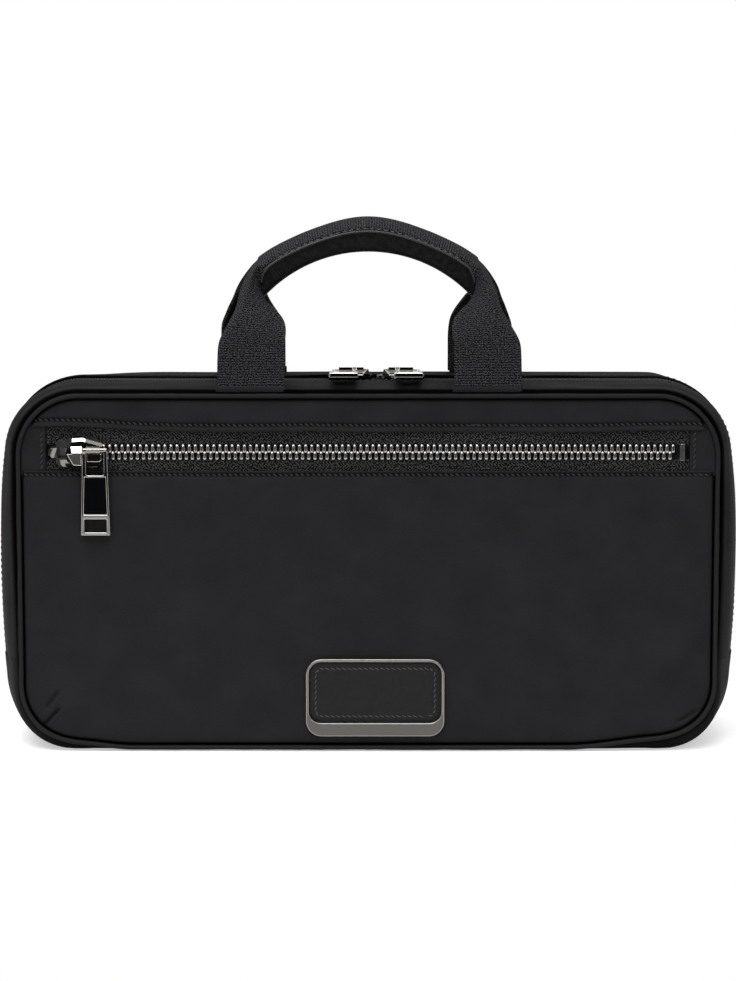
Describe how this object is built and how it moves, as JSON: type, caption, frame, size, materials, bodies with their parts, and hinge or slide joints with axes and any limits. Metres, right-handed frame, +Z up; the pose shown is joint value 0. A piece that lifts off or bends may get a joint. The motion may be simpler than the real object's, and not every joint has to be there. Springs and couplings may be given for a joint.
{
  "type": "cosmetic bag",
  "caption": "Slim soft black nylon cosmetic bag that stands on its base, with piped panels, a zip round the top and sides, a zipped front pocket and a top handle.",
  "frame": {"origin": "middle of the flat base of the bottom gusset", "axes": "+X to the right seen from the front, -Y out of the front panel, +Z up"},
  "size_m": [0.3114, 0.071, 0.2218],
  "materials": {
    "nylon": "satin black nylon twill",
    "piping": "nylon over a round cord",
    "webbing": "matte black ribbed webbing",
    "lining": "plain woven lining",
    "foam": "closed-cell foam",
    "board": "plain stiffener board",
    "zip_tape": "matte woven tape",
    "zip_coil": "black nylon coil",
    "zip_metal": "polished silver",
    "gunmetal": "polished gunmetal",
    "enamel": "glossy black",
    "leather": "smooth black leather"
  },
  "bodies": {
    "bag": {"front_panel_upper": "nylon", "pocket_front": "nylon", "pocket_zip_tab_left": "nylon", "pocket_zip_tab_right": "nylon", "front_piping": "piping", "back_piping": "piping", "back_panel": "nylon", "gusset_front_band": "nylon", "gusset_back_band": "nylon", "gusset_bottom": "nylon", "pocket_back_sheet": "lining", "front_foam": "foam", "front_lining": "lining", "back_foam": "foam", "back_lining": "lining", "base_board": "board", "base_lining": "lining", "main_tape_front": "zip_tape", "main_tape_back": "zip_tape", "main_coil_front": "zip_coil", "main_coil_back": "zip_coil", "pocket_tape_upper": "zip_tape", "pocket_tape_lower": "zip_tape", "pocket_teeth_upper": "zip_metal", "pocket_teeth_lower": "zip_metal", "pocket_zip_stop": "zip_metal", "handle_strap_front": "webbing", "handle_strap_back": "webbing", "grip_cover_upper": "webbing", "grip_cover_lower": "leather", "grip_core": "foam", "badge_frame": "gunmetal", "badge_leather": "leather"},
    "pocket_slider": {"pocket_slider": "gunmetal", "pocket_slider_plate": "gunmetal"},
    "pocket_pull": {"pocket_pull": "gunmetal", "pocket_pull_inlay": "enamel"},
    "main_slider_right": {"main_slider_right": "gunmetal", "main_slider_plate_right": "gunmetal"},
    "main_pull_right": {"main_pull_right": "gunmetal", "main_pull_inlay_right": "enamel"},
    "main_slider_left": {"main_slider_left": "gunmetal", "main_slider_plate_left": "gunmetal"},
    "main_pull_left": {"main_pull_left": "gunmetal", "main_pull_inlay_left": "enamel"}
  },
  "joints": [
    {"name": "pocket_zip_slide", "type": "slide", "parent": "bag", "child": "pocket_slider", "axis": [1, 0, 0], "range_m": [0, 0.236]},
    {"name": "pocket_pull_lift", "type": "hinge", "parent": "pocket_slider", "child": "pocket_pull", "pos_m": [-0.11315, -0.03503, 0.1282], "axis": [-1, 0, 0], "range_deg": [0, 90]},
    {"name": "main_zip_slide_right", "type": "slide", "parent": "bag", "child": "main_slider_right", "axis": [1, 0, 0], "range_m": [0, 0.092]},
    {"name": "main_pull_lift_right", "type": "hinge", "parent": "main_slider_right", "child": "main_pull_right", "pos_m": [0.0169, 0.0073, 0.15551], "axis": [-1, 0, 0], "range_deg": [0, 85]},
    {"name": "main_zip_slide_left", "type": "slide", "parent": "bag", "child": "main_slider_left", "axis": [-1, 0, 0], "range_m": [0, 0.099]},
    {"name": "main_pull_lift_left", "type": "hinge", "parent": "main_slider_left", "child": "main_pull_left", "pos_m": [-0.0101, 0.0073, 0.15551], "axis": [-1, 0, 0], "range_deg": [0, 85]}
  ]
}
